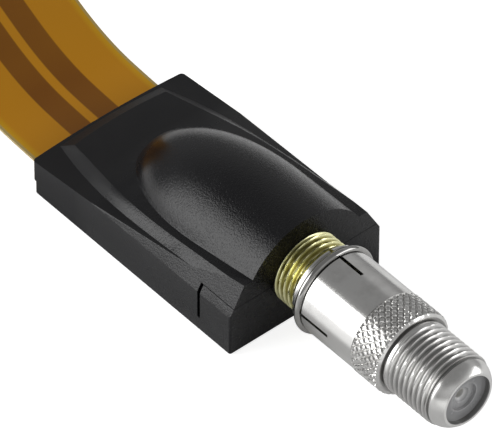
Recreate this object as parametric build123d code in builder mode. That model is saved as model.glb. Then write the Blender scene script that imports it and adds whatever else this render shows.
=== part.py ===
from build123d import *
from math import cos, radians, sin, tan
import os

# Flat coaxial window lead with an F jack in a wedge housing at each end and a
# push-on F adapter on the near jack. Millimetres, +Z up, +X out of the near jack.
# The origin is the middle of the near housing's underside.

# Housing outline
housing_length = 35.4
housing_width = 22.8
plate_thickness = 2.1          # base plate under the cable
plate_setback = 0.3            # the plate stops short of the shell's back edge
jack_height = 7.1              # jack axis, and the parting line at the front
block_length = 5.3             # front block of the base, which seats the jack
slit_width = 0.3               # open joint behind the front block
back_corner_radius = 0.5       # upright corners
front_corner_radius = 0.3
bottom_chamfer = 0.25

# Housing top: a crowned wedge with a raised plateau, side bevels and a dome.
# Heights are those of the middle of the top at the back edge and at the front face.
ledge_back_height = 5.55
ledge_front_height = 9.1
plateau_back_height = 6.35
plateau_front_height = 10.3
crown_rise = 0.5               # the top is this much higher along its middle
crown_drop = 0.35              # and this much of it is gone at the plateau's edge
# The plateau's top edge and the foot of the slope round it: distance back from
# the front face, and half width
plateau_edge = [(33.45, 7.05), (28.0, 7.95), (20.0, 8.98), (8.0, 9.4), (-1.0, 9.5)]
plateau_foot = [(35.1, 7.75), (28.0, 9.25), (20.0, 10.03), (8.0, 10.36), (-1.0, 10.6)]
plateau_back_bow = 0.7         # its back edge bows out by this much
bevel_start_height = 6.1       # side walls stand this high before they lean in
bevel_lean = 0.55              # inward run of the bevel for each mm of rise
dome_radius = 9.24
dome_front_axis = 5.4          # height of the dome's axis at the front face
dome_axis_slope = 0.034        # the axis falls this much for each mm to the back
dome_straight = 9.1            # round part of the dome, along its axis
dome_nose_length = 18.45       # and its rounded end
dome_nose_fullness = 2.2       # 2 is an ellipse, more is blunter
dome_nose_steps = 8

# Jack, a 3/8-32 thread on a turned body with a D flange
thread_diameter = 9.525
jack_reach = 11.0              # how far the jack stands out of the housing
thread_gap = 0.1               # housing's front face to the start of the thread
shank_radius = 4.6             # plain barrel inside the housing
jack_hole_clearance = 0.09
flange_radius = 5.6
flange_thickness = 2.4
boss_radius = 4.2
boss_length = 2.0
bore_radius = 3.3              # dielectric bore of the jack and of the adapter
mouth_recess = 1.2             # insulator face behind the jack's mouth
thread_chamfer = 0.45
contact_radius = 1.15
socket_radius = 0.55
socket_depth = 9.0
socket_cap = 1.0               # insulator ahead of the socket
socket_funnel = 0.4
cap_clearance = 0.1            # hole in the insulator to the socket's bore
tail_radius = 0.5
seat_gap = 0.05                # flange and boss to the pockets round them

# Solder chamber behind the jack
chamber_half = 5.2
chamber_length = 6.3
tail_reach = 4.2               # contact tail behind the insulator
tail_bend = 1.0
solder_height = 0.6
solder_radius = 0.9
lug_thickness = 0.5
lug_radius = 4.5
lug_leg_width = 0.9
lug_leg_spacing = 8.1          # between the middles of the two legs

# Flat cable
cable_width = 19.2
cable_thickness = 0.3
slot_clearance = 0.05
cable_side_clearance = 0.1
cable_end_gap = 0.6            # jack's flange to the cable's end
cable_lead_in = 27.5           # route starts this far behind the front face
free_length = 162.0            # between the two housings' back edges
# Route behind the near housing: distance back from the front face, and height
# above the cable's rest line. The far half is the mirror image.
route = [(37.0, 0.0), (47.3, 0.85), (57.3, 5.9), (69.3, 13.4), (85.3, 22.0), (105.0, 27.0)]

# Push-on adapter, placed along the jack axis from the housing's front face
sleeve_start = 3.6
sleeve_radius = 5.5
sleeve_clearance = 0.08        # over the jack's thread
collar_radius = 5.3
collar_length = 0.75
groove_radius = 5.02
groove_width = 1.15
ring_wire = 0.9
ring_clearance = 0.03
ring_gap = 1.2
slot_width = 0.35
# Slots, sawn across the sleeve: degrees about the axis from straight up, as the
# adapter was pushed on, and how far in each reaches
slots = [(-4.0, 9.3), (90.0, 10.1), (176.0, 9.3), (270.0, 10.1)]
jack_stop = 0.3                # adapter's inner shoulder to the jack's mouth
knurl_start = 14.2
knurl_end = 17.9
knurl_radius = 5.58
rim_end = 18.6
rim_radius = 5.05
relief_radius = 4.3
thread_start = 19.3
thread_end = 26.1
nose_root_radius = 4.45
nose_tip_radius = 3.75
adapter_end = 28.0
nose_lip = 0.15
adapter_recess = 0.7           # insulator face behind the adapter's mouth
face_pit_radius = 1.85         # shallow pit round its hole
face_pit_depth = 0.4
front_insulator_length = 8.2
rear_insulator_length = 4.0
pin_radius = 0.45
pin_reach = 7.0                # centre pin ahead of the adapter's inner shoulder
adapter_socket_depth = 6.0

# Worked out from the sizes above
front = housing_length / 2
back = -housing_length / 2
half_width = housing_width / 2
thread_radius = thread_diameter / 2
cable_top = plate_thickness + cable_thickness
cable_middle = plate_thickness + cable_thickness / 2
block_back = front - block_length
flange_back = block_back - seat_gap - flange_thickness
boss_back = flange_back - boss_length
tail_x = boss_back - tail_reach + contact_radius
lug_x = boss_back - lug_thickness
solder_top = cable_top + solder_height
jack_tip = front + jack_reach
shoulder = jack_tip + jack_stop
groove_start = front + sleeve_start + collar_length
jack_axis = Axis((0, 0, jack_height), (1, 0, 0))
far_shift = 2 * back - free_length
bevel_rise = 2 * dome_radius

os.makedirs("parts", exist_ok=True)


def crowned_section(x, side_height, floor_height):
    """Cross-section of the wedge: upright sides and an arched top."""
    with BuildSketch(Plane.YZ.offset(x)) as section:
        with BuildLine():
            Polyline(
                (-half_width, side_height),
                (-half_width, floor_height),
                (half_width, floor_height),
                (half_width, side_height),
            )
            ThreePointArc(
                (half_width, side_height), (0, side_height + crown_rise), (-half_width, side_height)
            )
        make_face()
    return section.sketch


def plateau_outline(share):
    """Plan of the plateau's slope, from its foot at share 0 to its top edge at share 1."""
    side = []
    for foot, edge in zip(plateau_foot, plateau_edge):
        reach = foot[0] + share * (edge[0] - foot[0])
        half = foot[1] + share * (edge[1] - foot[1])
        side.append((front - reach, half))
    mirrored = [(x, -half) for x, half in reversed(side)]
    back_middle = (side[0][0] - plateau_back_bow, 0)
    back_height = ledge_back_height + share * (plateau_back_height - ledge_back_height)
    front_height = ledge_front_height + share * (plateau_front_height - ledge_front_height)
    slope = (front_height - back_height) / housing_length
    plane = Plane(
        origin=(0, 0, (back_height + front_height) / 2 - crown_drop),
        x_dir=(1, 0, slope),
        z_dir=(-slope, 0, 1),
    )
    with BuildSketch(plane) as outline:
        with BuildLine():
            ThreePointArc(mirrored[-1], back_middle, side[0])
            Spline(*side)
            Line(side[-1], mirrored[0])
            Spline(*mirrored)
        make_face()
    return outline.sketch


# Raised plateau: sloping walls, under the same crowned top
with BuildPart() as plateau:
    loft([plateau_outline(-0.7), plateau_outline(1.8)], ruled=True)
    loft(
        [
            crowned_section(back, plateau_back_height - crown_rise, plate_thickness),
            crowned_section(front, plateau_front_height - crown_rise, plate_thickness),
        ],
        ruled=True,
        mode=Mode.INTERSECT,
    )

# Dome over the jack: a body of revolution whose axis falls towards the back
dome_plane = Plane(
    origin=(front, 0, dome_front_axis), x_dir=(1, 0, dome_axis_slope), z_dir=(0, -1, 0)
)
dome_nose = []
for step in range(dome_nose_steps + 1):
    turn = radians(90 * step / dome_nose_steps)
    along = abs(sin(turn)) ** (2 / dome_nose_fullness)
    around = abs(cos(turn)) ** (2 / dome_nose_fullness)
    dome_nose.append((-dome_straight - dome_nose_length * along, dome_radius * around))
dome_nose[-1] = (-dome_straight - dome_nose_length, 0)
with BuildPart() as dome:
    with BuildSketch(dome_plane):
        with BuildLine():
            Line((2, 0), (2, dome_radius))
            Line((2, dome_radius), (-dome_straight, dome_radius))
            Spline(*dome_nose, tangents=[(-1, 0), (0, -1)])
            Line((-dome_straight - dome_nose_length, 0), (2, 0))
        make_face()
    revolve(axis=Axis(dome_plane.origin, dome_plane.x_dir))
    split(bisect_by=Plane.YZ.offset(front), keep=Keep.BOTTOM)
    split(bisect_by=Plane.XY.offset(plate_thickness), keep=Keep.TOP)

# Base: flat plate with the front block that seats the lower half of the jack
with BuildPart() as housing_base:
    with BuildSketch():
        with Locations((plate_setback / 2, 0)):
            Rectangle(housing_length - plate_setback, housing_width)
    extrude(amount=plate_thickness)
    with BuildSketch(Plane.XY.offset(plate_thickness)):
        with Locations((front - block_length / 2, 0)):
            Rectangle(block_length, housing_width)
    extrude(amount=jack_height - plate_thickness)
    fillet(housing_base.edges().filter_by(Axis.Z).group_by(Axis.X)[0], back_corner_radius)
    fillet(housing_base.edges().filter_by(Axis.Z).group_by(Axis.X)[-1], front_corner_radius)
    chamfer(housing_base.faces().sort_by(Axis.Z)[0].edges(), bottom_chamfer)
    with BuildSketch(Plane.YZ.offset(block_back - 1)):
        for side in (-1, 1):
            with BuildLine():
                Polyline(
                    (side * half_width, bevel_start_height),
                    (side * (half_width - bevel_lean * bevel_rise), bevel_start_height + bevel_rise),
                    (side * (half_width + 1), bevel_start_height + bevel_rise),
                    (side * (half_width + 1), bevel_start_height),
                    close=True,
                )
            make_face()
    extrude(amount=block_length + 2, mode=Mode.SUBTRACT)
    with Locations(Location((front, 0, jack_height), (0, 90, 0))):
        Cylinder(shank_radius + jack_hole_clearance, 2 * block_length + 2, mode=Mode.SUBTRACT)

# Shell: wedge skirt, plateau and dome in one moulding, closed by the base
with BuildPart() as housing_shell:
    loft(
        [
            crowned_section(back, ledge_back_height - crown_rise, plate_thickness),
            crowned_section(front, ledge_front_height - crown_rise, plate_thickness),
        ],
        ruled=True,
    )
    fillet(housing_shell.edges().filter_by(Axis.Z).group_by(Axis.X)[0], back_corner_radius)
    fillet(housing_shell.edges().filter_by(Axis.Z).group_by(Axis.X)[-1], front_corner_radius)
    add(plateau.part)
    with BuildSketch(Plane.YZ.offset(back - 1)):
        for side in (-1, 1):
            with BuildLine():
                Polyline(
                    (side * half_width, bevel_start_height),
                    (side * (half_width - bevel_lean * bevel_rise), bevel_start_height + bevel_rise),
                    (side * (half_width + 1), bevel_start_height + bevel_rise),
                    (side * (half_width + 1), bevel_start_height),
                    close=True,
                )
            make_face()
    extrude(amount=housing_length + 2, mode=Mode.SUBTRACT)
    add(dome.part)
    # room for the front block and the slit behind it
    with Locations((front - (block_length + slit_width) / 2, 0, (plate_thickness + jack_height) / 2)):
        Box(
            block_length + slit_width,
            housing_width + 2,
            jack_height - plate_thickness,
            mode=Mode.SUBTRACT,
        )
    # jack hole, flange pocket and solder chamber
    with Locations(Location((front, 0, jack_height), (0, 90, 0))):
        Cylinder(shank_radius + jack_hole_clearance, 2 * block_length + 2, mode=Mode.SUBTRACT)
    with Locations(Location(((block_back + flange_back) / 2, 0, jack_height), (0, 90, 0))):
        Cylinder(
            flange_radius + seat_gap, block_back - flange_back + seat_gap, mode=Mode.SUBTRACT
        )
    with Locations(Location((flange_back - chamber_length / 2 + 0.5, 0, jack_height), (0, 90, 0))):
        Cylinder(chamber_half, chamber_length + 1, mode=Mode.SUBTRACT)
    with Locations((block_back - (block_back - flange_back + chamber_length) / 2, 0, 0)):
        Box(
            block_back - flange_back + chamber_length,
            2 * (flange_radius + seat_gap),
            jack_height,
            align=(Align.CENTER, Align.CENTER, Align.MIN),
            mode=Mode.SUBTRACT,
        )
    # cable slot along the plate
    with Locations(((back + block_back) / 2 - 1, 0, plate_thickness)):
        Box(
            block_back - back + 2,
            cable_width + 2 * cable_side_clearance,
            cable_thickness + slot_clearance,
            align=(Align.CENTER, Align.CENTER, Align.MIN),
            mode=Mode.SUBTRACT,
        )

# Jack body: threaded barrel, D flange in its pocket and a rear boss
with BuildPart() as jack_body:
    with BuildSketch(Plane.XZ):
        with BuildLine():
            Polyline(
                (boss_back, jack_height + bore_radius),
                (boss_back, jack_height + boss_radius),
                (flange_back, jack_height + boss_radius),
                (flange_back, jack_height + flange_radius),
                (block_back - seat_gap, jack_height + flange_radius),
                (block_back - seat_gap, jack_height + shank_radius),
                (front + thread_gap, jack_height + shank_radius),
                (front + thread_gap, jack_height + thread_radius),
                (jack_tip - thread_chamfer, jack_height + thread_radius),
                (jack_tip, jack_height + thread_radius - thread_chamfer),
                (jack_tip, jack_height + bore_radius),
                close=True,
            )
        make_face()
    revolve(axis=jack_axis)
    split(bisect_by=Plane.XY.offset(plate_thickness), keep=Keep.TOP)
    split(bisect_by=Plane.XY.offset(2 * jack_height - plate_thickness), keep=Keep.BOTTOM)

# Jack insulator: a moulded plug with the contact's socket hole at its face
with BuildPart() as jack_insulator:
    with BuildSketch(Plane.XZ):
        with BuildLine():
            Polyline(
                (boss_back, jack_height + contact_radius),
                (boss_back, jack_height + bore_radius),
                (jack_tip - mouth_recess, jack_height + bore_radius),
                (jack_tip - mouth_recess, jack_height + socket_radius + cap_clearance + socket_funnel),
                (jack_tip - mouth_recess - socket_funnel, jack_height + socket_radius + cap_clearance),
                (jack_tip - mouth_recess - socket_cap, jack_height + socket_radius + cap_clearance),
                (jack_tip - mouth_recess - socket_cap, jack_height + contact_radius),
                close=True,
            )
        make_face()
    revolve(axis=jack_axis)

# Jack contact: socket barrel and the tail that bends down to the cable
with BuildPart() as jack_contact:
    with BuildSketch(Plane.XZ):
        with BuildLine():
            Polyline(
                (boss_back - contact_radius, jack_height),
                (boss_back - contact_radius, jack_height + tail_radius),
                (boss_back, jack_height + contact_radius),
                (jack_tip - mouth_recess - socket_cap, jack_height + contact_radius),
                (jack_tip - mouth_recess - socket_cap, jack_height + socket_radius),
                (jack_tip - mouth_recess - socket_cap - socket_depth, jack_height + socket_radius),
                (jack_tip - mouth_recess - socket_cap - socket_depth, jack_height),
                close=True,
            )
        make_face()
    revolve(axis=jack_axis)
    with BuildLine() as tail_path:
        FilletPolyline(
            (boss_back - contact_radius, 0, jack_height),
            (tail_x, 0, jack_height),
            (tail_x, 0, solder_top),
            radius=tail_bend,
        )
    tail_wire = tail_path.wire()
    with BuildSketch(Plane(tail_wire @ 0, z_dir=tail_wire % 0)):
        Circle(tail_radius)
    sweep(path=tail_wire)

# Ground lug: a pressed ring behind the boss with two legs down to the cable
with BuildPart() as ground_lug:
    with BuildSketch(Plane.YZ.offset(lug_x)):
        with Locations((0, jack_height)):
            Circle(lug_radius)
        for side in (-1, 1):
            with Locations((side * lug_leg_spacing / 2, solder_top)):
                Rectangle(
                    lug_leg_width, jack_height - solder_top, align=(Align.CENTER, Align.MIN)
                )
        with Locations((0, jack_height)):
            Circle(bore_radius, mode=Mode.SUBTRACT)
    extrude(amount=lug_thickness)

# Solder: one joint under the tail and one under each leg of the lug
with BuildPart() as solder_joints:
    joint_places = [(tail_x, 0)]
    for side in (-1, 1):
        joint_places.append((lug_x + lug_thickness / 2, side * lug_leg_spacing / 2))
    for place in joint_places:
        with Locations((place[0], place[1], cable_top)):
            Cone(
                solder_radius,
                tail_radius,
                solder_height,
                align=(Align.CENTER, Align.CENTER, Align.MIN),
            )

# Adapter body, turned in one piece: slotted sleeve, knurled grip, threaded end
with BuildPart() as adapter_body:
    with BuildSketch(Plane.XZ):
        with BuildLine():
            Polyline(
                (shoulder, jack_height + bore_radius),
                (shoulder, jack_height + thread_radius + sleeve_clearance),
                (front + sleeve_start, jack_height + thread_radius + sleeve_clearance),
                (front + sleeve_start, jack_height + collar_radius - 0.15),
                (front + sleeve_start + 0.15, jack_height + collar_radius),
                (groove_start, jack_height + collar_radius),
                (groove_start, jack_height + groove_radius),
                (groove_start + groove_width, jack_height + groove_radius),
                (groove_start + groove_width, jack_height + sleeve_radius - 0.1),
                (groove_start + groove_width + 0.1, jack_height + sleeve_radius),
                (front + knurl_start - 0.15, jack_height + sleeve_radius),
                (front + knurl_start, jack_height + knurl_radius),
                (front + knurl_end, jack_height + knurl_radius),
                (front + rim_end, jack_height + rim_radius),
                (front + rim_end, jack_height + relief_radius),
                (front + thread_start, jack_height + relief_radius),
                (front + thread_start + thread_chamfer, jack_height + thread_radius),
                (front + thread_end - thread_chamfer, jack_height + thread_radius),
                (front + thread_end, jack_height + nose_root_radius),
            )
            ThreePointArc(
                (front + thread_end, jack_height + nose_root_radius),
                (
                    front + thread_end + 0.62 * (adapter_end - thread_end),
                    jack_height + nose_tip_radius + 0.6 * (nose_root_radius - nose_tip_radius),
                ),
                (front + adapter_end - nose_lip, jack_height + nose_tip_radius),
            )
            Polyline(
                (front + adapter_end - nose_lip, jack_height + nose_tip_radius),
                (front + adapter_end, jack_height + nose_tip_radius - nose_lip),
                (front + adapter_end, jack_height + bore_radius),
                (shoulder, jack_height + bore_radius),
            )
        make_face()
    revolve(axis=jack_axis)
    for turn, slot_end in slots:
        with Locations(Location((front + slot_end, 0, jack_height), (turn, 0, 0))):
            Box(
                slot_end,
                slot_width,
                2 * sleeve_radius,
                align=(Align.MAX, Align.CENTER, Align.MIN),
                mode=Mode.SUBTRACT,
            )

# Spring ring: round wire in the sleeve's groove, split at the underside
with BuildPart() as spring_ring:
    ring_middle = groove_start + groove_width / 2
    ring_radius = groove_radius + ring_clearance + ring_wire / 2
    with BuildSketch(Plane.XZ):
        with Locations((ring_middle, jack_height + ring_radius)):
            Circle(ring_wire / 2)
    revolve(axis=jack_axis)
    with Locations((ring_middle, 0, jack_height - ring_radius)):
        Box(2 * ring_wire, ring_gap, 2 * ring_wire, mode=Mode.SUBTRACT)

# Adapter insulators: one in the mouth, one behind the inner shoulder
with BuildPart() as adapter_front_insulator:
    mouth_face = front + adapter_end - adapter_recess
    pit_floor = mouth_face - face_pit_depth
    with BuildSketch(Plane.XZ):
        with BuildLine():
            Polyline(
                (mouth_face - front_insulator_length, jack_height + contact_radius),
                (mouth_face - front_insulator_length, jack_height + bore_radius),
                (mouth_face, jack_height + bore_radius),
                (mouth_face, jack_height + face_pit_radius),
                (pit_floor, jack_height + face_pit_radius),
                (pit_floor, jack_height + socket_radius + cap_clearance + socket_funnel),
                (pit_floor - socket_funnel, jack_height + socket_radius + cap_clearance),
                (pit_floor - socket_cap, jack_height + socket_radius + cap_clearance),
                (pit_floor - socket_cap, jack_height + contact_radius),
                close=True,
            )
        make_face()
    revolve(axis=jack_axis)

with BuildPart() as adapter_rear_insulator:
    with BuildSketch(Plane.YZ.offset(shoulder)):
        with Locations((0, jack_height)):
            Circle(bore_radius)
            Circle(pin_radius, mode=Mode.SUBTRACT)
    extrude(amount=rear_insulator_length)

# Adapter contact: pin for the jack at one end, socket at the other
with BuildPart() as adapter_contact:
    with BuildSketch(Plane.XZ):
        with BuildLine():
            Polyline(
                (shoulder - pin_reach, jack_height),
                (shoulder - pin_reach + 0.25, jack_height + pin_radius),
                (shoulder + rear_insulator_length, jack_height + pin_radius),
                (shoulder + rear_insulator_length, jack_height + contact_radius),
                (pit_floor - socket_cap, jack_height + contact_radius),
                (pit_floor - socket_cap, jack_height + socket_radius),
                (pit_floor - socket_cap - adapter_socket_depth, jack_height + socket_radius),
                (pit_floor - socket_cap - adapter_socket_depth, jack_height),
                close=True,
            )
        make_face()
    revolve(axis=jack_axis)

# Flat cable: lies in the near slot, arches over to the far housing
near_points = [(front - cable_lead_in, cable_middle)]
for reach, rise in route:
    near_points.append((front - reach, cable_middle + rise))
far_points = [(far_shift - x, z) for x, z in reversed(near_points)]
route_points = near_points + far_points
route_radii = []
for before, corner, after in zip(route_points, route_points[1:], route_points[2:]):
    run_in = Vector(corner[0] - before[0], corner[1] - before[1])
    run_out = Vector(after[0] - corner[0], after[1] - corner[1])
    half_turn = radians(run_in.get_angle(run_out)) / 2
    route_radii.append(0.45 * min(run_in.length, run_out.length) / tan(half_turn))
print("cable radii", [round(radius, 1) for radius in route_radii])

inner_end = flange_back - cable_end_gap
with BuildPart() as flat_cable:
    with BuildLine(Plane.XZ) as cable_path:
        Line((inner_end, cable_middle), route_points[0])
        FilletPolyline(*route_points, radius=route_radii)
        Line(route_points[-1], (far_shift - inner_end, cable_middle))
    cable_wire = cable_path.wire()
    with BuildSketch(Plane(cable_wire @ 0, x_dir=(0, 1, 0), z_dir=cable_wire % 0)):
        Rectangle(cable_width, cable_thickness)
    sweep(path=cable_wire)
swept_volume = cable_width * cable_thickness * cable_wire.length
print("cable length", round(cable_wire.length, 1))
print("cable volume over section times length", round(flat_cable.part.volume / swept_volume, 4))

near_pieces = {
    "housing_base": housing_base,
    "housing_shell": housing_shell,
    "jack_body": jack_body,
    "jack_insulator": jack_insulator,
    "jack_contact": jack_contact,
    "ground_lug": ground_lug,
    "solder_joints": solder_joints,
}
single_pieces = {
    "flat_cable": flat_cable,
    "adapter_body": adapter_body,
    "spring_ring": spring_ring,
    "adapter_front_insulator": adapter_front_insulator,
    "adapter_rear_insulator": adapter_rear_insulator,
    "adapter_contact": adapter_contact,
}
for label, piece in (near_pieces | single_pieces).items():
    piece.part.label = label
    export_step(piece.part, f"parts/{label}.step")

# The far end is the same terminal, turned to face the other way
for label, piece in near_pieces.items():
    far_piece = Pos(far_shift, 0, 0) * Rot(0, 0, 180) * piece.part
    far_piece.label = f"far_{label}"
    export_step(far_piece, f"parts/far_{label}.step")
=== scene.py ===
import math

import bmesh
import bpy
from mathutils import Matrix, Vector


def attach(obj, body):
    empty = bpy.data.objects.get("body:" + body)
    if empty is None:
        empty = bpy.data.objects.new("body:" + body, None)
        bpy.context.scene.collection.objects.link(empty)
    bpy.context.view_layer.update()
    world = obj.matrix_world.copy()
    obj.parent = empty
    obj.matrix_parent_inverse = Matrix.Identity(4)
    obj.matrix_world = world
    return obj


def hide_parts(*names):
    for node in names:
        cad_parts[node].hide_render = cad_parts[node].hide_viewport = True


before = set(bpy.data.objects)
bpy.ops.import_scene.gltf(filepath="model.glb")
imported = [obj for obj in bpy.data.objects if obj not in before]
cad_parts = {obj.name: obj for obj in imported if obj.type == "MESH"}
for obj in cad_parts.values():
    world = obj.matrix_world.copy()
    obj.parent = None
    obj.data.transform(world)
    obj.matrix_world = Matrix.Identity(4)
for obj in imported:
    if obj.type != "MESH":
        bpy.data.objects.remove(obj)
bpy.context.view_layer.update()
mm = 0.001
print("frame loaded", len(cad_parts), "nodes")

# Shared by all pieces, in mm. The near housing's middle is at 0, and a place at the far end
# lies at farShift less the x of its near twin.
place = {
    "front": 17.7,          # front face of the near housing
    "housingLength": 35.4,
    "axisHeight": 7.1,      # jacks' axis over the underside
    "farShift": -197.4,
}


def fromFront(distance):
    # x in metres of a place so many mm ahead of the near housing's front face
    return (place["front"] + distance) * mm


# Node maths
class Flow:
    # a socket that takes part in Python expressions
    def __init__(self, nodes, socket):
        self.nodes, self.socket = nodes, socket

    def __add__(self, other):
        return self.nodes.maths("ADD", self, other)

    def __radd__(self, other):
        return self.nodes.maths("ADD", other, self)

    def __sub__(self, other):
        return self.nodes.maths("SUBTRACT", self, other)

    def __rsub__(self, other):
        return self.nodes.maths("SUBTRACT", other, self)

    def __mul__(self, other):
        return self.nodes.maths("MULTIPLY", self, other)

    def __truediv__(self, other):
        return self.nodes.maths("DIVIDE", self, other)


class NodeSet:
    # makes nodes in one tree: type, settings first, then values or links
    def __init__(self, tree):
        self.tree = tree

    def make(self, kind, settings=None, sockets=None):
        node = self.tree.nodes.new(kind)
        for name, value in (settings or {}).items():
            if name == "stops":
                for index, (at, colour) in enumerate(value):
                    if index < 2:
                        stop = node.color_ramp.elements[index]
                        stop.position = at
                    else:
                        stop = node.color_ramp.elements.new(at)
                    stop.color = colour
            else:
                setattr(node, name, value)
        for name, value in (sockets or {}).items():
            self.feed(node.inputs[name], value)
        return node

    def feed(self, socket, value):
        if isinstance(value, Flow):
            self.tree.links.new(value.socket, socket)
        else:
            socket.default_value = value

    def flow(self, node, output=0):
        return Flow(self, node.outputs[output])

    def split(self, vector):
        parts = self.make("ShaderNodeSeparateXYZ", {}, {"Vector": vector})
        return [self.flow(parts, letter) for letter in ("X", "Y", "Z")]

    def maths(self, operation, *values, clamp=False):
        node = self.make("ShaderNodeMath", {"operation": operation, "use_clamp": clamp})
        for index, value in enumerate(values):
            self.feed(node.inputs[index], value)
        return self.flow(node)

    def length(self, first, second):
        return self.maths("SQRT", first * first + second * second)

    def clip(self, value):
        return self.maths("ADD", value, 0.0, clamp=True)

    def ramp(self, value, low, high):
        # 0 at low, 1 at high
        return self.clip((value - low) / (high - low))

    def rampMm(self, value, low, high):
        # the same for a value in metres and two places in mm
        return self.ramp(value, low * mm, high * mm)

    def blend(self, share, first, second):
        # sockets 6 and 7 and output 2 of this node are its colour ones
        node = self.make("ShaderNodeMix", {"data_type": "RGBA"})
        self.feed(node.inputs[0], share)
        self.feed(node.inputs[6], first)
        self.feed(node.inputs[7], second)
        return self.flow(node, 2)

    def noise(self, vector, scale, detail=2.0, roughness=0.5):
        node = self.make(
            "ShaderNodeTexNoise",
            {},
            {"Vector": vector, "Scale": scale, "Detail": detail, "Roughness": roughness},
        )
        return self.flow(node)

    def bump(self, height, strength, distance):
        # distance in mm
        node = self.make("ShaderNodeBump", {}, {"Strength": strength, "Distance": distance * mm})
        self.feed(node.inputs["Height"], height)
        return self.flow(node)

    def objectPoint(self, stretch=(1, 1, 1)):
        point = self.flow(self.make("ShaderNodeTexCoord"), "Object")
        mapping = self.make("ShaderNodeMapping", {}, {"Vector": point, "Scale": stretch})
        return self.flow(mapping)


# Finishes
# Noise scales are per metre, and lengths in the dictionaries are in mm.
def rgb(red, green, blue):
    return (red, green, blue, 1.0)


def newFinish(name, fixed):
    finish = bpy.data.materials.new(name)
    finish.use_nodes = True
    nodes = NodeSet(finish.node_tree)
    shader = finish.node_tree.nodes["Principled BSDF"]
    for socket, value in fixed.items():
        shader.inputs[socket].default_value = value
    return finish, nodes, shader


def dress(n, shader, colour, roughness, normal=None):
    n.feed(shader.inputs["Base Color"], colour)
    n.feed(shader.inputs["Roughness"], roughness)
    if normal:
        n.feed(shader.inputs["Normal"], normal)


def alongAxis(n, point):
    # place along the jack's axis from the housing's front, the same at both ends,
    # and distance from the axis
    x, y, z = n.split(point)
    middle = place["farShift"] / 2 * mm
    along = n.maths("ABSOLUTE", x - middle) + (middle - place["front"] * mm)
    return along, n.length(y, z - place["axisHeight"] * mm)


def shadedHollows(n, along, radius, spans):
    # Mask of painted shade: 1 at a hollow's floor, 0 at its crest and elsewhere. Each span
    # gives start and end along the axis, the radius of its floor and of its crest, and its share.
    fade = 0.08
    paintedShadeMost = 0.0
    for start, end, floorRadius, crestRadius, share in spans:
        inside = n.rampMm(along, start - fade, start) * (1 - n.rampMm(along, end, end + fade))
        paintedShadeMask = inside * (1 - n.rampMm(radius, floorRadius, crestRadius)) * share
        paintedShadeMost = n.maths("MAXIMUM", paintedShadeMost, paintedShadeMask)
    return paintedShadeMost


plasticLook = {
    "colour": rgb(0.0042, 0.0042, 0.0052),
    "worn": rgb(0.0065, 0.0065, 0.0075),
    "wornFrom": (0.35, 0.75),
    "cloudScale": 180,
    "roughness": 0.2,
    "cloudRoughness": 0.06,
    "grainSize": 0.2,
    "grainHeight": 0.05,
    "grainRoughness": 0.9,
    "grainLeast": 0.1,              # share of the grain at the housing's back
    "grainGrows": (-25.0, -12.0),   # from the housing's front; from the least to all of it
    "backMatt": (-28.0, -23.5),     # from the housing's front; from all to none
    "mattRoughness": 0.36,
    "bump": 1.0,
}
look = plasticLook
plastic, n, shader = newFinish("sparkErodedPlastic", {"Specular IOR Level": 0.35})
where = n.objectPoint()
cloud = n.noise(where, look["cloudScale"], 3)
grain = n.noise(where, 1 / (look["grainSize"] * mm), 2, 0.6)
along, _ = alongAxis(n, where)
grainShare = look["grainLeast"] + n.rampMm(along, *look["grainGrows"]) * (1 - look["grainLeast"])
matt = 1 - n.rampMm(along, *look["backMatt"])
roughness = look["roughness"] + (cloud - 0.5) * look["cloudRoughness"]
roughness = roughness + (grain - 0.5) * grainShare * look["grainRoughness"]
dress(
    n,
    shader,
    n.blend(n.ramp(cloud, *look["wornFrom"]), look["colour"], look["worn"]),
    roughness + matt * look["mattRoughness"],
    n.bump(grain * grainShare, look["bump"], look["grainHeight"]),
)

brassLook = {
    "crest": rgb(0.99, 0.975, 0.57),
    # painted shade: the darker colour laid into the thread's grooves
    "paintedShade": rgb(0.24, 0.20, 0.024),
    "shadedHollows": [(0.1, 11.0, 4.46, 4.72, 1.0)],  # thread
    "paintedShadeShare": 0.8,
    "stained": (0.5, 0.8),
    "stainShare": 0.2,
    "cloudScale": 700,
    "cloudBump": 0.6,                           # beside the turning marks' 1
    "turningScale": (9000, 300, 300),
    "turningDepth": 0.006,
    "bump": 0.5,
    "roughness": 0.16,
    "cloudRoughness": 0.12,
    "hollowRoughness": 0.1,
}
look = brassLook
brass, n, shader = newFinish("turnedBrass", {"Metallic": 1.0})
where = n.objectPoint()
cloud = n.noise(where, look["cloudScale"], 3)
turning = n.noise(n.objectPoint(look["turningScale"]), 1.0, 1)
# painted shade mask over the thread's grooves, used for colour and roughness
paintedShadeMask = shadedHollows(n, *alongAxis(n, where), look["shadedHollows"])
stain = n.ramp(cloud, *look["stained"]) * look["stainShare"]
roughness = look["roughness"] + cloud * look["cloudRoughness"] + paintedShadeMask * look["hollowRoughness"]
dress(
    n,
    shader,
    n.blend(n.clip(paintedShadeMask * look["paintedShadeShare"] + stain), look["crest"], look["paintedShade"]),
    roughness,
    n.bump(turning + cloud * look["cloudBump"], look["bump"], look["turningDepth"]),
)

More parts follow.
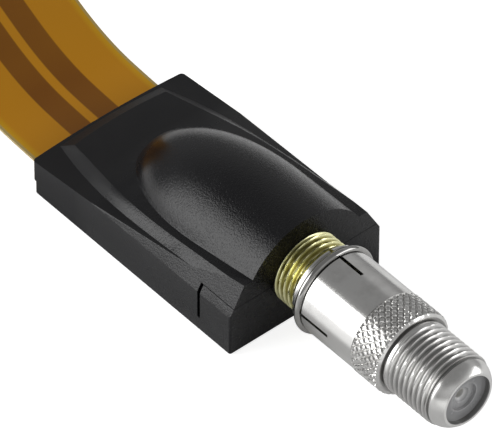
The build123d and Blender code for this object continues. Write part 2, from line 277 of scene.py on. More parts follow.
nickelLook = {
    "colour": rgb(0.76, 0.755, 0.74),
    "dull": rgb(0.60, 0.59, 0.575),
    "dullFrom": (0.45, 0.8),
    # painted shade: this colour darkens the thread, knurl, ring groove, mouth, bore and slots, and
    # paints a shadow and dark reflection on the collar beside the ring
    "paintedShade": rgb(0.19, 0.188, 0.185),
    "shadedHollows": [
        (18.7, 26.3, 4.44, 4.72, 1.0),      # thread
        (14.2, 18.3, 5.32, 5.48, 0.6),      # knurl
        (18.6, 18.86, 4.9, 5.2, 0.8),       # face behind the band
        (4.35, 5.55, 5.06, 5.2, 1.0),       # ring's groove
        (4.0, 4.35, 5.35, 5.4, 1.0),        # collar, close by the ring
        (26.8, 27.85, 3.34, 3.5, 1.0),      # inside the mouth
        (3.5, 11.4, 4.86, 5.4, 1.0),        # sleeve's bore and slots
    ],
    "paintedShadeShare": 0.7,
    "cloudScale": 260,
    "speckScale": 1900,
    "speckBump": 0.5,                       # beside the turning marks' 1
    "turningScale": (7000, 260, 260),
    "turningDepth": 0.004,
    "bump": 0.5,
    "roughness": 0.12,
    "cloudRoughness": 0.08,
    "turningRoughness": 0.10,
    "hollowRoughness": 0.12,
    "satinFrom": (18.5, 18.7),              # ahead of this the plate is satin
    "satinRoughness": 0.08,
    "satinBump": 1.5,                       # added to the specks there
}
look = nickelLook
nickel, n, shader = newFinish("nickelPlate", {"Metallic": 1.0})
where = n.objectPoint()
cloud = n.noise(where, look["cloudScale"], 4, 0.65)
speck = n.noise(where, look["speckScale"], 3, 0.6)
turning = n.noise(n.objectPoint(look["turningScale"]), 1.0, 2)
along, radius = alongAxis(n, where)
# painted shade mask over the hollows listed above, used for colour and roughness
paintedShadeMask = shadedHollows(n, along, radius, look["shadedHollows"])
satin = n.rampMm(along, *look["satinFrom"])
colour = n.blend(n.ramp(cloud, *look["dullFrom"]), look["colour"], look["dull"])
roughness = look["roughness"] + cloud * look["cloudRoughness"]
roughness = roughness + (turning - 0.5) * look["turningRoughness"]
roughness = roughness + paintedShadeMask * look["hollowRoughness"] + satin * look["satinRoughness"]
marks = turning + speck * (look["speckBump"] + satin * look["satinBump"])
dress(
    n,
    shader,
    n.blend(paintedShadeMask * look["paintedShadeShare"], colour, look["paintedShade"]),
    roughness,
    n.bump(marks, look["bump"], look["turningDepth"]),
)

insulatorLook = {
    "colour": rgb(0.50, 0.50, 0.505),
    "cloudy": rgb(0.36, 0.36, 0.365),
    "cloudScale": 500,
    # painted shade: darker outside the pit's edge, across the recessed face in the mouth
    "rim": rgb(0.20, 0.20, 0.205),
    "paintedRimShadeFrom": (1.85, 2.1),         # from the middle
    "paintedRimShadeShare": 0.6,
    # painted light: the hole for the centre wire and its edge are lightened
    "paintedCentreLight": rgb(0.80, 0.80, 0.80),  # about the hole for the centre wire
    "paintedCentreLightWithin": (0.7, 0.95),
    "roughness": 0.26,
    "cloudRoughness": 0.15,
    "pitScale": 3000,
    "pitDepth": 0.004,
    "bump": 0.3,
}
look = insulatorLook
insulator, n, shader = newFinish("greyInsulator", {"Specular IOR Level": 0.5})
where = n.objectPoint()
cloud = n.noise(where, look["cloudScale"], 2)
_, radius = alongAxis(n, where)
colour = n.blend(cloud, look["colour"], look["cloudy"])
colour = n.blend(1 - n.rampMm(radius, *look["paintedCentreLightWithin"]), colour, look["paintedCentreLight"])
# share of the painted shade outside the pit's edge
paintedRimShadeShare = n.rampMm(radius, *look["paintedRimShadeFrom"]) * look["paintedRimShadeShare"]
dress(
    n,
    shader,
    n.blend(paintedRimShadeShare, colour, look["rim"]),
    look["roughness"] + (cloud - 0.5) * look["cloudRoughness"],
    n.bump(n.noise(where, look["pitScale"], 2), look["bump"], look["pitDepth"]),
)


def cloudedMetal(name, look):
    # bare metal whose colour and roughness follow one cloud
    finish, n, shader = newFinish(name, {"Metallic": 1.0})
    cloud = n.noise(n.objectPoint(), look["cloudScale"], look["cloudDetail"])
    roughness = look["roughness"] + cloud * look["cloudRoughness"]
    dress(n, shader, n.blend(cloud, look["bright"], look["dull"]), roughness)
    return finish


springWire = cloudedMetal("springWire", {
    "bright": rgb(0.50, 0.495, 0.48),
    "dull": rgb(0.32, 0.315, 0.305),
    "cloudScale": 900,
    "cloudDetail": 3,
    "roughness": 0.07,
    "cloudRoughness": 0.05,
})
contactMetal = cloudedMetal("platedContact", {
    "bright": rgb(0.84, 0.78, 0.62),
    "dull": rgb(0.74, 0.68, 0.52),
    "cloudScale": 900,
    "cloudDetail": 2,
    "roughness": 0.2,
    "cloudRoughness": 0.15,
})
solder = cloudedMetal("solderBead", {
    "bright": rgb(0.62, 0.62, 0.63),
    "dull": rgb(0.45, 0.45, 0.47),
    "cloudScale": 2500,
    "cloudDetail": 3,
    "roughness": 0.25,
    "cloudRoughness": 0.2,
})

# Flat cable: strips under amber film, laid out across the width of its own UV map
ribbonLook = {
    "width": 19.2,
    "conductorHalf": 0.58,          # these four are counted from the cable's middle line
    "gapEnd": 3.62,
    "copperEnd": 9.2,
    "brightFrom": (8.3, 8.9),
    "softEdge": 0.16,
    "copper": rgb(0.565, 0.24, 0.004),
    "conductor": rgb(0.575, 0.245, 0.005),
    "gap": rgb(0.203, 0.067, 0.001),
    "film": rgb(0.46, 0.35, 0.13),
    "brightEdge": rgb(0.64, 0.36, 0.006),
    "brightShare": 0.7,
    "clouded": rgb(0.62, 0.28, 0.006),
    "cloudedFrom": (0.35, 0.85),
    "cloudedShare": 0.2,
    "cloudScale": 60,
    "cloudStretch": (1, 0.4, 1),
    "roughness": 0.34,
    "cloudRoughness": 0.12,
    "coat": 0.15,
    "cloudCoat": 0.1,
    "rippleScale": 700,
    "rippleHeight": 0.02,
    "bump": 0.12,
}
look = ribbonLook
ribbonFinish, n, shader = newFinish(
    "amberRibbon", {"Specular IOR Level": 0.3, "Coat Roughness": 0.12}
)
u, _, _ = n.split(n.flow(n.make("ShaderNodeUVMap", {"uv_map": "ribbonMap"})))
across = n.maths("ABSOLUTE", (u - 0.5) * look["width"])
pastConductor, onCopper, onMargin = [
    n.ramp(across, look[edge] - look["softEdge"] / 2, look[edge] + look["softEdge"] / 2)
    for edge in ("conductorHalf", "gapEnd", "copperEnd")
]
nearEdge = n.ramp(across, *look["brightFrom"])
cloud = n.noise(n.objectPoint(look["cloudStretch"]), look["cloudScale"], 3)
colour = n.blend(1 - pastConductor, look["gap"], look["conductor"])
colour = n.blend(onCopper, colour, look["copper"])
colour = n.blend(nearEdge * onCopper * look["brightShare"], colour, look["brightEdge"])
colour = n.blend(onMargin, colour, look["film"])
cloudedShare = n.ramp(cloud, *look["cloudedFrom"]) * look["cloudedShare"]
dress(
    n,
    shader,
    n.blend(cloudedShare, colour, look["clouded"]),
    look["roughness"] + (cloud - 0.5) * look["cloudRoughness"],
    n.bump(n.noise(n.objectPoint(), look["rippleScale"], 2), look["bump"], look["rippleHeight"]),
)
n.feed(shader.inputs["Coat Weight"], look["coat"] + (cloud - 0.5) * look["cloudCoat"])
print("finishes made")


# Helpers
def linked(name, data):
    item = bpy.data.objects.new(name, data)
    bpy.context.scene.collection.objects.link(item)
    return item


def newPiece(name, mesh, body, finish=None):
    piece = linked(name, mesh)
    if finish:
        mesh.materials.clear()
        mesh.materials.append(finish)
    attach(piece, body)
    return piece


def settled(draft):
    # a draft with its modifiers applied, as a plain mesh; the draft itself goes
    bpy.context.view_layer.update()
    ready = draft.evaluated_get(bpy.context.evaluated_depsgraph_get())
    mesh = bpy.data.meshes.new_from_object(ready)
    bpy.data.objects.remove(draft)
    return mesh


def smoothByAngle(mesh, degrees):
    mesh.shade_smooth()
    mesh.set_sharp_from_angle(angle=math.radians(degrees))


def turned(profile, segments, flats=None):
    # a closed turned shape about the jack's axis; the profile runs once round the section as
    # mm from the housing's front face, radius, and rings from there to the next point
    rings = []
    for (x0, r0, steps), (x1, r1, _) in zip(profile, profile[1:] + profile[:1]):
        for step in range(steps):
            share = step / steps
            rings.append((x0 + share * (x1 - x0), r0 + share * (r1 - r0)))
    shape = bmesh.new()
    grid = []
    for x, radius in rings:
        row = []
        for index in range(segments):
            angle = 2 * math.pi * index / segments
            up = radius * math.cos(angle)
            if flats:
                up = max(-flats, min(flats, up))
            corner = (fromFront(x), radius * math.sin(angle) * mm, (place["axisHeight"] + up) * mm)
            row.append(shape.verts.new(corner))
        grid.append(row)
    faces = {}
    for ring, row in enumerate(grid):
        after = grid[(ring + 1) % len(grid)]
        for index in range(segments):
            following = (index + 1) % segments
            faces[(ring, index)] = shape.faces.new(
                (row[index], row[following], after[following], after[index])
            )
    return shape, grid, rings, faces


# Thread and knurl, by one Geometry Nodes tree
# The tree's inputs, in metres but for the count; a piece hands in those that differ from these.
reliefInputs = {
    "Axis Height": place["axisHeight"] * mm,
    "Thread Start": 0.0,
    "Thread End": 0.0,
    "Thread Fade": 0.0003,
    "Thread Run Out": 0.0003,
    "Thread Pitch": 0.000794,
    "Thread Depth": 0.0,
    "Knurl Start": 0.0,
    "Knurl End": 0.0,
    "Knurl Count": 1.0,
    "Knurl Length": 0.001,
    "Knurl Depth": 0.0,
}
reliefForm = {
    "threadCrest": 0.06,    # shares of half a pitch
    "threadFlank": 0.66,
    "knurlRise": 2.6,       # how fast a pyramid rises from its groove
    "knurlFloor": 0.1,      # what the groove's flat floor takes of that rise
    "knurlFade": 0.08,      # mm
    "outside": 4.0,         # mm, a radius between the bores and the cut surfaces
    "smooth": 28,           # degrees
}


def reliefTree():
    tree = bpy.data.node_groups.new("threadAndKnurl", "GeometryNodeTree")
    tree.interface.new_socket("Geometry", in_out="INPUT", socket_type="NodeSocketGeometry")
    for label, value in reliefInputs.items():
        socket = tree.interface.new_socket(label, in_out="INPUT", socket_type="NodeSocketFloat")
        socket.default_value = value
    tree.interface.new_socket("Finish", in_out="INPUT", socket_type="NodeSocketMaterial")
    tree.interface.new_socket("Geometry", in_out="OUTPUT", socket_type="NodeSocketGeometry")
    g = NodeSet(tree)
    given = g.make("NodeGroupInput")
    size = {label: g.flow(given, label) for label in reliefInputs}
    form = reliefForm
    x, y, z = g.split(g.flow(g.make("GeometryNodeInputPosition")))
    z = z - size["Axis Height"]
    radius = g.length(y, z)
    turn = g.maths("ARCTAN2", y, z) / (2 * math.pi)

    def zone(start, end, fadeIn, fadeOut):
        return g.clip((x - start) / fadeIn) * g.clip((end - x) / fadeOut)

    def zigzag(value):
        # 0 at whole numbers and 1 halfway between them
        return g.maths("PINGPONG", value, 0.5) * 2

    wave = zigzag(x / size["Thread Pitch"] + turn)
    threadCut = g.clip((wave - form["threadCrest"]) / form["threadFlank"])
    threadCut = threadCut * zone(
        size["Thread Start"], size["Thread End"], size["Thread Fade"], size["Thread Run Out"]
    )
    threadCut = threadCut * size["Thread Depth"]
    along = x / size["Knurl Length"]
    around = turn * size["Knurl Count"]
    nearest = g.maths("MINIMUM", zigzag(around + along), zigzag(around - along))
    knurlCut = 1 - g.clip(nearest * form["knurlRise"] - form["knurlFloor"])
    fade = form["knurlFade"] * mm
    knurlCut = knurlCut * zone(size["Knurl Start"], size["Knurl End"], fade, fade)
    knurlCut = knurlCut * size["Knurl Depth"]
    # only the outside of the wall is cut, and the last value keeps the axis from a division by 0
    outside = g.maths("GREATER_THAN", radius, form["outside"] * mm)
    share = 0 - (threadCut + knurlCut) * outside / g.maths("MAXIMUM", radius, 0.0001)
    offset = g.make("ShaderNodeCombineXYZ", {}, {"X": 0.0, "Y": y * share, "Z": z * share})
    moved = g.make(
        "GeometryNodeSetPosition",
        {},
        {"Geometry": g.flow(given, "Geometry"), "Offset": g.flow(offset)},
    )
    real = g.make("GeometryNodeRealizeInstances", {}, {"Geometry": g.flow(moved)})
    coated = g.make(
        "GeometryNodeSetMaterial",
        {},
        {"Geometry": g.flow(real), "Material": g.flow(given, "Finish")},
    )
    result = g.make("NodeGroupOutput")
    tree.links.new(coated.outputs[0], result.inputs[0])
    return tree


relief = reliefTree()


def cutRelief(shape, name, sizes, finish):
    # the turned shape with its thread and knurl, as a plain mesh
    mesh = bpy.data.meshes.new(name)
    bmesh.ops.recalc_face_normals(shape, faces=shape.faces)
    shape.to_mesh(mesh)
    shape.free()
    draft = linked(name + "Draft", mesh)
    modifier = draft.modifiers.new("relief", "NODES")
    modifier.node_group = relief
    for item in relief.interface.items_tree:
        if item.in_out == "INPUT" and item.name in sizes:
            modifier[item.identifier] = float(sizes[item.name])
        if item.in_out == "INPUT" and item.name == "Finish":
            modifier[item.identifier] = finish
    made = settled(draft)
    smoothByAngle(made, reliefForm["smooth"])
    return made


# Camera
cameraLook = {
    "azimuth": 49.3157,     # degrees
    "elevation": 44.5738,
    "roll": 0.2286,
    "distance": 1007.38,    # mm from the middle of the housing's front face
    "targetHeight": 7.0,
    "left": 6.3823,         # mm, moves the camera in the picture's plane
    "above": 5.7517,
    "lens": 633.86,
    "sensor": 36,
    "clip": (0.05, 10),     # metres
}
azimuth, elevation = math.radians(cameraLook["azimuth"]), math.radians(cameraLook["elevation"])
roll = math.radians(cameraLook["roll"])
back = Vector((
    math.sin(azimuth) * math.cos(elevation),
    -math.cos(azimuth) * math.cos(elevation),
    math.sin(elevation),
))
right = Vector((math.cos(azimuth), math.sin(azimuth), 0))
up = back.cross(right)
rightRolled = right * math.cos(roll) + up * math.sin(roll)
upRolled = up * math.cos(roll) - right * math.sin(roll)
eye = Vector((place["front"], 0, cameraLook["targetHeight"])) + back * cameraLook["distance"]
eye = eye - rightRolled * cameraLook["left"] + upRolled * cameraLook["above"]
cameraData = bpy.data.cameras.new("camera")
cameraData.lens = cameraLook["lens"]
cameraData.sensor_width = cameraLook["sensor"]
cameraData.clip_start, cameraData.clip_end = cameraLook["clip"]
camera = linked("camera", cameraData)
camera.matrix_world = Matrix((
    (rightRolled.x, upRolled.x, back.x, eye.x * mm),
    (rightRolled.y, upRolled.y, back.y, eye.y * mm),
    (rightRolled.z, upRolled.z, back.z, eye.z * mm),
    (0, 0, 0, 1),
))
bpy.context.scene.camera = camera

# Flat cable
cableRoute = {
    "middle": 2.25,         # height of the way out of the housing
    "points": [             # how far behind the housing's front face, and rise over the way out
        (8.35, 0.0), (27.5, 0.0), (37.0, 0.0), (47.3, 0.85),
        (57.3, 5.9), (69.3, 13.4), (85.3, 22.0), (105.0, 27.0),
    ],
    "length": 227.8,        # along the line through these points and their far twins
    "copperHalf": 0.15,     # half thickness over a strip
    "gapHalf": 0.142,       # and between the strips
    "shoulder": 0.2,
    "edgeRound": 0.05,      # width of the thinned outer edge
    "edgeThin": 0.55,       # and its share of the thickness
    "smooth": 12,           # degrees
}


def cableLine():
    # points along the cable's middle line, the same at both ends, in metres
    nearPoints = [
        (place["front"] - reach, cableRoute["middle"] + rise)
        for reach, rise in cableRoute["points"]
    ]
    routePoints = nearPoints + [(place["farShift"] - x, z) for x, z in reversed(nearPoints)]
    curve = bpy.data.curves.new("cableRoute", "CURVE")
    curve.dimensions = "3D"
    spline = curve.splines.new("NURBS")
    spline.points.add(len(routePoints) - 1)
    for point, (x, z) in zip(spline.points, routePoints):
        point.co = (x * mm, 0, z * mm, 1)
    spline.order_u = 3
    spline.use_endpoint_u = True
    spline.resolution_u = 10
    return [vertex.co.copy() for vertex in settled(linked("cableRoute", curve)).vertices]


def ribbonSection():
    # the section once round, as place across and height over the middle
    half, thick, thin = ribbonLook["width"] / 2, cableRoute["copperHalf"], cableRoute["gapHalf"]
    step = cableRoute["shoulder"]
    side = [(half, thin * cableRoute["edgeThin"]), (half - cableRoute["edgeRound"], thin)]
    side += [(ribbonLook["copperEnd"] + step, thin), (ribbonLook["copperEnd"], thick)]
    side += [(ribbonLook["gapEnd"], thick), (ribbonLook["gapEnd"] - step, thin)]
    side += [(ribbonLook["conductorHalf"] + step, thin), (ribbonLook["conductorHalf"], thick)]
    top = side + [(-y, h) for y, h in reversed(side)]
    return top + [(y, -h) for y, h in reversed(top)]


def ribbonAlong(line, section):
    # the section carried along the line, with its UV map of place across and distance along
    shape = bmesh.new()
    uvMap = shape.loops.layers.uv.new("ribbonMap")
    rows, travelled = [], [0.0]
    for index, spot in enumerate(line):
        before, after = line[max(index - 1, 0)], line[min(index + 1, len(line) - 1)]
        along = (after - before).normalized()
        normal = along.cross(Vector((0, 1, 0))).normalized()
        if normal.z < 0:
            normal.negate()
        rows.append([
            shape.verts.new(spot + Vector((0, y * mm, 0)) + normal * (h * mm)) for y, h in section
        ])
        if index:
            travelled.append(travelled[-1] + (spot - line[index - 1]).length)

    def addFace(spots):
        face = shape.faces.new([rows[row][corner] for row, corner in spots])
        for loop, (row, corner) in zip(face.loops, spots):
            loop[uvMap].uv = (section[corner][0] / ribbonLook["width"] + 0.5, travelled[row])

    for row in range(len(rows) - 1):
        for corner in range(len(section)):
            following = (corner + 1) % len(section)
            addFace([(row, corner), (row, following), (row + 1, following), (row + 1, corner)])
    for row in (0, len(rows) - 1):
        addFace([(row, corner) for corner in range(len(section))])
    bmesh.ops.recalc_face_normals(shape, faces=shape.faces)
    mesh = bpy.data.meshes.new("flatRibbon")
    shape.to_mesh(mesh)
    shape.free()
    smoothByAngle(mesh, cableRoute["smooth"])
    return mesh, travelled[-1]


line = cableLine()
ribbonMesh, ribbonLength = ribbonAlong(line, ribbonSection())
ribbon = newPiece("flatRibbon", ribbonMesh, "lead", ribbonFinish)
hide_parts("flat_cable")
print("ribbon made", round(ribbonLength / mm, 1), "mm")

# Housings
housingEdges = {
    "width": 0.14,          # mm, as are all lengths here
    "segments": 3,
    "fromAngle": 21,        # degrees between faces
    "seam": 2.1,            # height of the joint between plate and shell
    "inside": 5.7,          # edges this close to the middle plane
    "roof": 7.0,            # and lower than this are crisper, as in corners
    "crisp": 0.3,           # share of the width there
    "smooth": 20,           # degrees
    "jointGap": 0.07,       # lifts the shell off the front block
    "jointBack": 12.0,      # the joint's back end, from the housing's middle
    "flankFrom": 9.0,       # beside this the shell's edge also moves inwards
    "flankShare": 0.55,     # by this share of the lift
    "slitBack": 12.1,       # back wall of the slit behind the front block
    "slitMore": 0.16,       # opens that slit
    "match": 0.02,          # how near a corner is to a named place
    "merge": 0.002,         # corners this close are one
    "flat": 0.03,           # degrees, below which two faces are one
}
e = housingEdges


def openJoint(shape):
    # makes the shell's joint and the slit behind the front block wide enough to show
    for vertex in shape.verts:
        x, y, z = vertex.co / mm
        reach = x if x > place["farShift"] / 2 else place["farShift"] - x
        if abs(reach - e["slitBack"]) < e["match"]:
            vertex.co.x += math.copysign(e["slitMore"] * mm, place["farShift"] / 2 - x)
        if abs(z - place["axisHeight"]) < e["match"] and reach > e["jointBack"]:
            vertex.co.z += e["jointGap"] * mm
            if abs(y) > e["flankFrom"]:
                vertex.co.y -= math.copysign(e["flankShare"] * e["jointGap"] * mm, y)


def housingPiece(node, name, isShell):
    # a merged copy of a CAD node with its sharp edges broken, except at the plate's seam
    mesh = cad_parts[node].data.copy()
    shape = bmesh.new()
    shape.from_mesh(mesh)
    bmesh.ops.remove_doubles(shape, verts=shape.verts, dist=e["merge"] * mm)
    bmesh.ops.dissolve_limit(
        shape, angle_limit=math.radians(e["flat"]), verts=shape.verts, edges=shape.edges
    )
    if isShell:
        openJoint(shape)
    weight = shape.edges.layers.float.new("bevel_weight_edge")
    fromAngle = math.radians(e["fromAngle"])
    for edge in shape.edges:
        if len(edge.link_faces) != 2 or edge.calc_face_angle(0) < fromAngle:
            continue
        spots = [vertex.co / mm for vertex in edge.verts]
        atSeam = all(abs(spot.z - e["seam"]) < e["match"] for spot in spots)
        inside = all(abs(spot.y) < e["inside"] and spot.z < e["roof"] for spot in spots)
        if not atSeam:
            edge[weight] = e["crisp"] if inside or edge.calc_face_angle_signed(0) < 0 else 1.0
    shape.to_mesh(mesh)
    shape.free()
    smoothByAngle(mesh, e["smooth"])
    draft = linked(name + "Draft", mesh)
    breaking = draft.modifiers.new("brokenEdges", "BEVEL")
    breaking.width = e["width"] * mm
    breaking.segments = e["segments"]
    breaking.limit_method = "WEIGHT"
    breaking.use_clamp_overlap = True
    breaking.harden_normals = True
    piece = newPiece(name, settled(draft), "lead", plastic)
    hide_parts(node)
    return piece


farPieces = []
for prefix, label in (("", "near"), ("far_", "far")):
    shell = housingPiece(prefix + "housing_shell", label + "Shell", True)
    base = housingPiece(prefix + "housing_base", label + "Base", False)
    if prefix:
        farPieces += [shell, base]
print("housings made")

# Pieces that stay as the solids are, with a better finish
finishOf = {
    "jack_insulator": insulator,
    "jack_contact": contactMetal,
    "ground_lug": contactMetal,
    "solder_joints": solder,
    "spring_ring": springWire,
    "adapter_front_insulator": insulator,
    "adapter_rear_insulator": insulator,
    "adapter_contact": contactMetal,
}
for prefix in ("", "far_"):
    for node, finish in finishOf.items():
        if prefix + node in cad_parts:
            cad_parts[prefix + node].material_slots[0].material = finish

# Jacks
# Places along the axis are counted from the housing's front face; all but counts in mm.
jackSize = {
    "flangeFront": -5.35,
    "flangeBack": -7.75,
    "bossBack": -9.75,
    "tip": 11.0,
    "shank": 4.6,           # radii
    "thread": 4.7625,
    "flange": 5.6,
    "boss": 4.2,
    "bore": 3.3,
    "flats": 5.0,           # half the height over the flange's flats
    "chamfer": 0.45,
    "threadFrom": 0.1,
    "threadPast": 0.05,     # beyond the tip
    "threadDepth": 0.46,
    "threadSteps": 190,
    "segments": 180,
}
s = jackSize
jackProfile = [
    (s["bossBack"], s["bore"], 1),
    (s["bossBack"], s["boss"], 2),
    (s["flangeBack"], s["boss"], 1),
    (s["flangeBack"], s["flange"], 1),
    (s["flangeFront"], s["flange"], 1),
    (s["flangeFront"], s["shank"], 1),
    (s["threadFrom"], s["shank"], 1),
    (s["threadFrom"], s["thread"], s["threadSteps"]),
    (s["tip"] - s["chamfer"], s["thread"], 3),
    (s["tip"], s["thread"] - s["chamfer"], 2),
    (s["tip"], s["bore"], 6),
]
jackShape = turned(jackProfile, s["segments"], s["flats"])[0]
jackRelief = {
    "Thread Start": fromFront(s["threadFrom"]),
    "Thread End": fromFront(s["tip"] + s["threadPast"]),
    "Thread Depth": s["threadDepth"] * mm,
}
jackMesh = cutRelief(jackShape, "jackBody", jackRelief, brass)
farMesh = jackMesh.copy()
toFarEnd = Matrix.Translation((place["farShift"] * mm, 0, 0)) @ Matrix.Rotation(math.pi, 4, "Z")
farMesh.transform(toFarEnd)
nearJack = newPiece("nearJack", jackMesh, "lead")
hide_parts("jack_body")
farJack = newPiece("farJack", farMesh, "lead")
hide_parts("far_jack_body")
farPieces.append(farJack)
print("jacks made")

# Adapter
# Places along the axis are counted from the housing's front face; all but turns and counts in mm.
adapterSize = {
    "shoulder": 11.3,
    "bore": 3.3,
    "sleeveBore": 4.8425,
    "sleeveStart": 3.6,
    "sleeveChamfer": 0.15,
    "collar": 5.3,
    "grooveStart": 4.35,
    "groove": 5.02,
    "grooveEnd": 5.5,
    "grooveChamfer": 0.1,
    "sleeve": 5.5,
    "slots": [(4.0, 9.3), (90.0, 10.1), (184.0, 9.3), (270.0, 10.1)],  # degrees, end
    "slotCells": 5,         # width of a slot in segments
    "knurlStart": 14.2,
    "knurlSlope": 0.15,     # length of the slope up to the knurl
    "knurlEnd": 18.25,
    "knurlPast": 0.2,       # how far its grooves run on over the edge
    "knurl": 5.58,
    "knurlCount": 36,       # grooves each way round
    "knurlLength": 1.08,    # of a pyramid, along the axis
    "knurlDepth": 0.24,
    "knurlRings": 46,
    "knurlEdge": (0.18, 0.1),   # length and height of this broken edge, as of the next two
    "rimEnd": 18.65,
    "rim": 5.12,
    "rimEdge": (0.08, 0.14),
    "relief": 4.5,
    "bandStart": 18.85,
    "bandEdge": (0.1, 0.12),
    "threadStart": 19.5,
    "threadEnd": 25.95,
    "threadLead": 0.15,     # how far before its start the thread begins to deepen
    "threadPast": 0.02,
    "threadRunOut": 0.12,
    "threadDepth": 0.40,
    "thread": 4.7625,
    "threadRings": 104,
    "ringsLead": 0.2,       # how far before the thread's start these rings begin
    "noseGroove": (0.08, 0.1),  # length of its slope and its depth
    "noseStart": 26.25,
    "noseRound": 0.1,       # how far past that the rounded flank begins
    "noseBulge": 0.16,      # how far it stands out from a straight flank
    "noseSteps": 8,
    "noseRoot": 4.5,
    "noseTip": 3.75,
    "end": 28.0,
    "lip": 0.15,
    "segments": 384,
}
a = adapterSize


def noseArc():
    # the nose's rounded flank, through the same three points as the solid's
    start, end = a["noseStart"] + a["noseRound"], a["end"] - a["lip"]
    arc = []
    for index in range(a["noseSteps"]):
        share = index / a["noseSteps"]
        bulge = 4 * share * (1 - share) * a["noseBulge"]
        radius = a["noseRoot"] + share * (a["noseTip"] - a["noseRoot"]) + bulge
        arc.append((start + share * (end - start), radius, 1))
    return arc


adapterProfile = [
    (a["shoulder"], a["bore"], 2),
    (a["shoulder"], a["sleeveBore"], 1),
    (a["slots"][1][1], a["sleeveBore"], 1),
    (a["slots"][0][1], a["sleeveBore"], 5),
    (a["sleeveStart"], a["sleeveBore"], 2),
    (a["sleeveStart"], a["collar"] - a["sleeveChamfer"], 1),
    (a["sleeveStart"] + a["sleeveChamfer"], a["collar"], 2),
    (a["grooveStart"], a["collar"], 1),
    (a["grooveStart"], a["groove"], 2),
    (a["grooveEnd"], a["groove"], 1),
    (a["grooveEnd"], a["sleeve"] - a["grooveChamfer"], 1),
    (a["grooveEnd"] + a["grooveChamfer"], a["sleeve"], 6),
    (a["slots"][0][1], a["sleeve"], 1),
    (a["slots"][1][1], a["sleeve"], 4),
    (a["knurlStart"] - a["knurlSlope"], a["sleeve"], 2),
    (a["knurlStart"], a["knurl"], a["knurlRings"]),
    (a["knurlEnd"], a["knurl"], 1),
    (a["knurlEnd"] + a["knurlEdge"][0], a["knurl"] - a["knurlEdge"][1], 1),
    (a["rimEnd"] - a["rimEdge"][0], a["rim"] + a["rimEdge"][1], 1),
    (a["rimEnd"], a["rim"], 2),
    (a["rimEnd"], a["relief"], 1),
    (a["bandStart"], a["relief"], 1),
    (a["bandStart"], a["thread"] - a["bandEdge"][1], 1),
    (a["bandStart"] + a["bandEdge"][0], a["thread"], 4),
    (a["threadStart"] - a["ringsLead"], a["thread"], a["threadRings"]),
    (a["threadEnd"], a["thread"], 2),
    (a["threadEnd"] + a["noseGroove"][0], a["noseRoot"] - a["noseGroove"][1], 1),
    (a["noseStart"], a["noseRoot"] - a["noseGroove"][1], 1),
] + noseArc() + [
    (a["end"] - a["lip"], a["noseTip"], 2),
    (a["end"], a["noseTip"] - a["lip"], 3),
    (a["end"], a["bore"], 12),
]


def cutSlots(shape, grid, rings, faces):
    # opens the sleeve's wall along each slot and closes the cut sides
    hair = 0.001
    for turn, slotEnd in a["slots"]:
        walls = [
            ring for ring, (x, radius) in enumerate(rings)
            if a["sleeveStart"] - hair <= x <= slotEnd + hair and radius > a["bore"] + 1
        ]
        first = round(turn / 360 * a["segments"] - a["slotCells"] / 2)
        across = [(first + step) % a["segments"] for step in range(a["slotCells"] + 1)]
        for ring in walls[:-1]:
            for cell in across[:-1]:
                shape.faces.remove(faces.pop((ring, cell)))
        for edge in (across[0], across[-1]):
            shape.faces.new([grid[ring][edge] for ring in walls])
        inner = [grid[walls[0]][cell] for cell in across]
        outer = [grid[walls[-1]][cell] for cell in reversed(across)]
        shape.faces.new(inner + outer)
    loose = [edge for edge in shape.edges if not edge.link_faces]
    bmesh.ops.delete(shape, geom=loose, context="EDGES")
    loose = [vertex for vertex in shape.verts if not vertex.link_faces]
    bmesh.ops.delete(shape, geom=loose, context="VERTS")


adapterShape, grid, rings, faces = turned(adapterProfile, a["segments"])
cutSlots(adapterShape, grid, rings, faces)
adapterRelief = {
    "Thread Start": fromFront(a["threadStart"] - a["threadLead"]),
    "Thread End": fromFront(a["threadEnd"] + a["threadPast"]),
    "Thread Run Out": a["threadRunOut"] * mm,
    "Thread Depth": a["threadDepth"] * mm,
    "Knurl Start": fromFront(a["knurlStart"]),
    "Knurl End": fromFront(a["knurlEnd"] + a["knurlPast"]),
    "Knurl Count": a["knurlCount"],
    "Knurl Length": a["knurlLength"] * mm,
    "Knurl Depth": a["knurlDepth"] * mm,
}
adapterMesh = cutRelief(adapterShape, "adapterBody", adapterRelief, nickel)
adapter = newPiece("adapterBody", adapterMesh, "adapter")
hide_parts("adapter_body")
print("adapter made", len(adapterMesh.polygons), "faces")

ribbonLook["width"] * mm

# Studio
studioLook = {
    "floorColour": rgb(0.86, 0.86, 0.86),
    "floorGlow": 0.78,      # added for the camera, so that open floor is white
    "floorHalf": 3.0,       # metres
    "floorDrop": 0.0002,
    "mirrorGlow": 0.5,      # what bright metal sees of the glow, away from the part
    "partHalf": 11.4,       # mm, the near end's outline that distances start from
    "partMiddle": 14.2,
    "partHalfLength": 32.0,
    "leftFade": (3.5, 11.0),        # mm from that outline, over which the glow comes in
    "rightFade": (0.0, 2.0),
    "rightShare": 0.5,      # less of it on the far side
    "sideBlend": (-2.0, 2.0),       # mm across, from the near side's share to the far side's
    "noseFrom": (20.0, 36.0),       # mm along the axis, where less glow lies on the left
    "noseTo": (52.0, 66.0),
    "noseShare": 0.7,
    "levels": [             # height of the direction and the world's light from there
        (0.0, 0.27), (0.1, 0.28), (0.24, 0.35), (0.4, 0.42), (0.58, 0.42), (0.68, 0.26),
    ],
    "front": 0.16,          # and more of it ahead of the mouth
    "frontFrom": (0.25, 0.6),
    "frontTo": (0.45, 0.75),
}
look = studioLook
floorMesh = bpy.data.meshes.new("floor")
half, drop = look["floorHalf"], look["floorDrop"]
floorMesh.from_pydata(
    [(-half, -half, -drop), (half, -half, -drop), (half, half, -drop), (-half, half, -drop)],
    [],
    [(0, 1, 2, 3)],
)
floor = linked("floor", floorMesh)
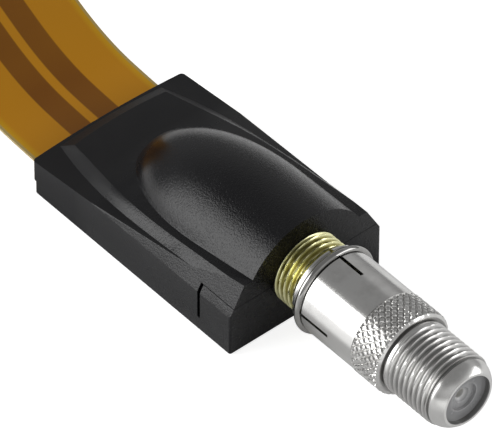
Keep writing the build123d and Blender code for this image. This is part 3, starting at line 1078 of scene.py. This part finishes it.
floorFinish, n, shader = newFinish(
    "whiteFloor",
    {"Base Color": look["floorColour"], "Roughness": 0.9, "Specular IOR Level": 0.1},
)
path = n.make("ShaderNodeLightPath")
x, y, _ = n.split(n.objectPoint())
# painted shadow in reflections: the glow that glossy rays see fades out near the part, and more
# beside the nose
sideways = n.maths("MAXIMUM", n.maths("ABSOLUTE", y) - look["partHalf"] * mm, 0.0)
lengthways = n.maths("ABSOLUTE", x - look["partMiddle"] * mm) - look["partHalfLength"] * mm
lengthways = n.maths("MAXIMUM", lengthways, 0.0)
away = n.length(sideways, lengthways)
besideNose = n.rampMm(x, *look["noseFrom"]) * (1 - n.rampMm(x, *look["noseTo"]))
leftShare = n.rampMm(away, *look["leftFade"]) * (1 - besideNose * look["noseShare"])
rightShare = n.rampMm(away, *look["rightFade"]) * look["rightShare"]
share = leftShare + n.rampMm(y, *look["sideBlend"]) * (rightShare - leftShare)
seenBack = n.maths("MAXIMUM", n.flow(path, "Is Glossy Ray"), n.flow(path, "Is Transmission Ray"))
mirrored = seenBack * share * look["mirrorGlow"]
glow = n.maths("MAXIMUM", n.flow(path, "Is Camera Ray") * look["floorGlow"], mirrored)
n.feed(shader.inputs["Emission Color"], n.blend(glow, rgb(0, 0, 0), rgb(1, 1, 1)))
shader.inputs["Emission Strength"].default_value = 1.0
floorMesh.materials.append(floorFinish)

world = bpy.data.worlds.new("studio")
bpy.context.scene.world = world
world.use_nodes = True
n = NodeSet(world.node_tree)
x, _, height = n.split(n.flow(n.make("ShaderNodeTexCoord"), "Generated"))
stops = [(at, rgb(value, value, value)) for at, value in look["levels"]]
level = n.flow(n.make("ShaderNodeValToRGB", {"stops": stops}, {"Fac": height}))
ahead = n.ramp(x, *look["frontFrom"]) * (1 - n.ramp(height, *look["frontTo"]))
level = level + ahead * look["front"]
onCamera = n.flow(n.make("ShaderNodeLightPath"), "Is Camera Ray")
background = world.node_tree.nodes["Background"]
background.inputs["Color"].default_value = rgb(1, 1, 1)
n.feed(background.inputs["Strength"], n.maths("MAXIMUM", onCamera, level * (1 - onCamera)))


def softBox(name, toward, distance, size, radiance):
    # a rectangular lamp in the given direction, turned to the part; metres
    focus = Vector((0, 0, 0.006))
    data = bpy.data.lights.new(name, "AREA")
    data.shape = "RECTANGLE"
    data.size, data.size_y = size
    data.energy = radiance * math.pi * size[0] * size[1]
    lamp = linked(name, data)
    aim = Vector(toward).normalized()
    lamp.location = focus + aim * distance
    lamp.rotation_mode = "QUATERNION"
    lamp.rotation_quaternion = aim.to_track_quat("Z", "Y")


softBox("leftBox", toward=(-0.54, -0.84, 0.374), distance=0.6, size=(0.50, 0.485), radiance=3.7)
softBox("frontBox", toward=(0.62, 0.74, 0.26), distance=0.6, size=(0.46, 0.22), radiance=2.2)
bpy.context.scene.view_settings.view_transform = "Standard"
print("studio made")
